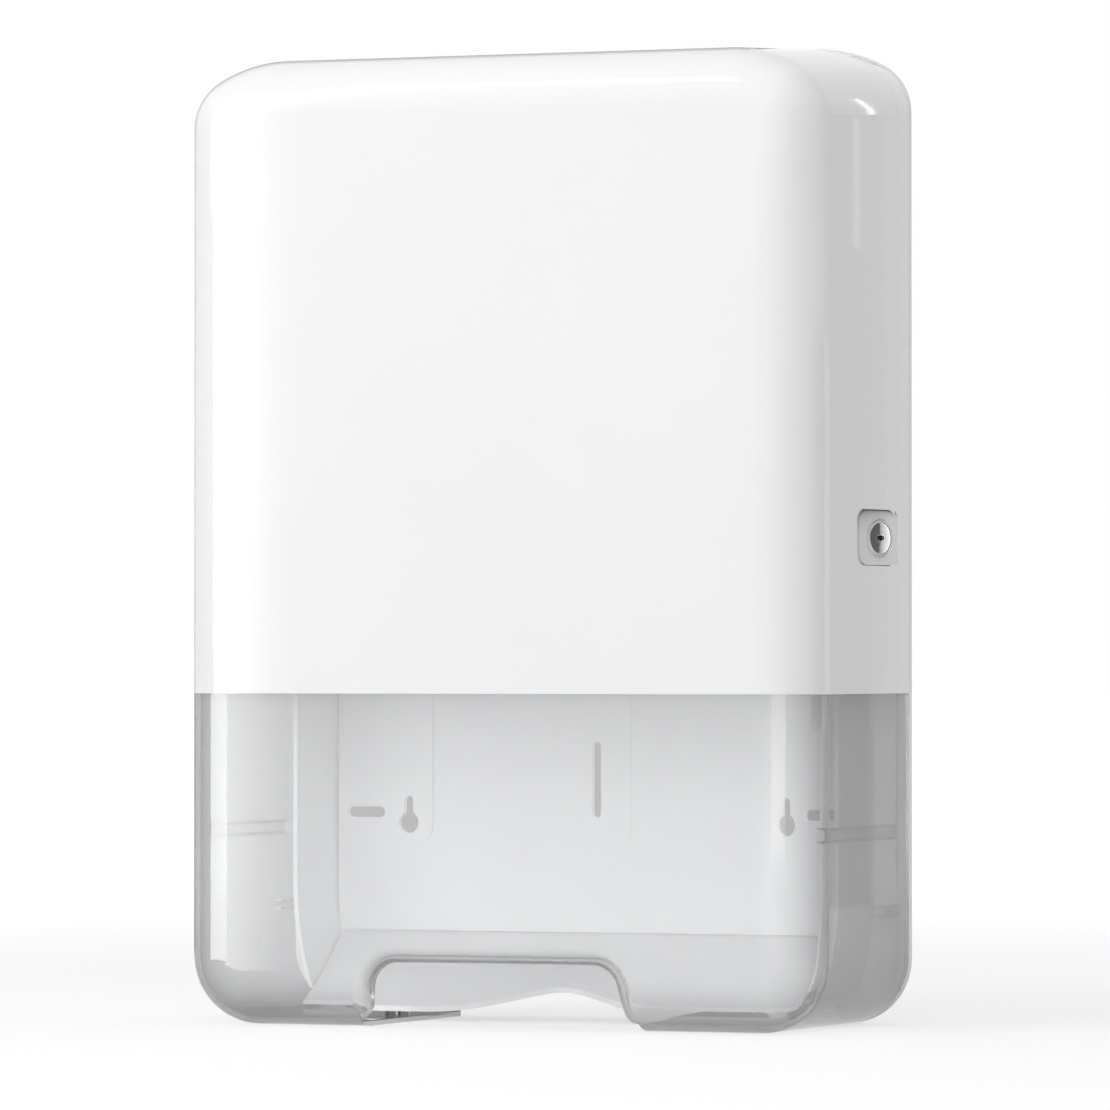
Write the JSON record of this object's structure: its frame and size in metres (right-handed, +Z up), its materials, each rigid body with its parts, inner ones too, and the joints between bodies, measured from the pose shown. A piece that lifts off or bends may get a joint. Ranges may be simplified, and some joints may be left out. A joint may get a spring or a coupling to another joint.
{
  "type": "paper towel dispenser",
  "caption": "Wall dispenser for folded paper towels: white hinged cover with a clear lower window, outlet notch and a cam lock in its side.",
  "frame": {"origin": "under the middle of the whole object, at its lowest level, halfway between the wall and the front", "axes": "+X to the viewer's right when facing the front, +Y into the wall, +Z up; the front faces -Y"},
  "size_m": [0.306, 0.136, 0.4437],
  "materials": {
    "cover_white": "glossy moulded white",
    "plate_white": "satin moulded white",
    "guide_white": "satin moulded white",
    "window_clear": "clear moulded plastic, lightly smoked",
    "rivet_clear": "pale moulded plastic",
    "clip_grey": "pale grey moulded",
    "escutcheon_white": "satin moulded white",
    "lock_chrome": "bright plated",
    "catch_steel": "zinc-plated sheet",
    "pin_steel": "ground steel",
    "zinc": "bright zinc"
  },
  "bodies": {
    "root": {"back_plate": "plate_white", "guide_left": "guide_white", "guide_right": "guide_white", "guide_screws": "zinc", "chute": "guide_white", "chute_screws": "zinc", "lip_clip_left": "clip_grey", "lip_clip_right": "clip_grey", "lock_catch": "catch_steel", "catch_screws": "zinc"},
    "cover": {"cover_upper": "cover_white", "cover_window": "window_clear", "window_rivets": "rivet_clear", "side_rib_left": "window_clear", "side_rib_right": "window_clear", "hinge_pin_left": "pin_steel", "hinge_pin_right": "pin_steel", "lock_escutcheon": "escutcheon_white", "lock_ring": "lock_chrome", "lock_barrel": "lock_chrome", "lock_nut": "zinc"},
    "plug": {"lock_plug": "lock_chrome", "lock_cam": "catch_steel", "cam_screw": "zinc"}
  },
  "joints": [
    {"name": "cover_hinge", "type": "hinge", "parent": "root", "child": "cover", "pos_m": [0, 0.0576, 0.0042], "axis": [1, 0, 0], "range_deg": [0, 85]},
    {"name": "lock_turn", "type": "hinge", "parent": "cover", "child": "plug", "pos_m": [0.1483, 0.03397, 0.22], "axis": [0.9336, -0.3584, 0], "range_deg": [0, 90]}
  ]
}
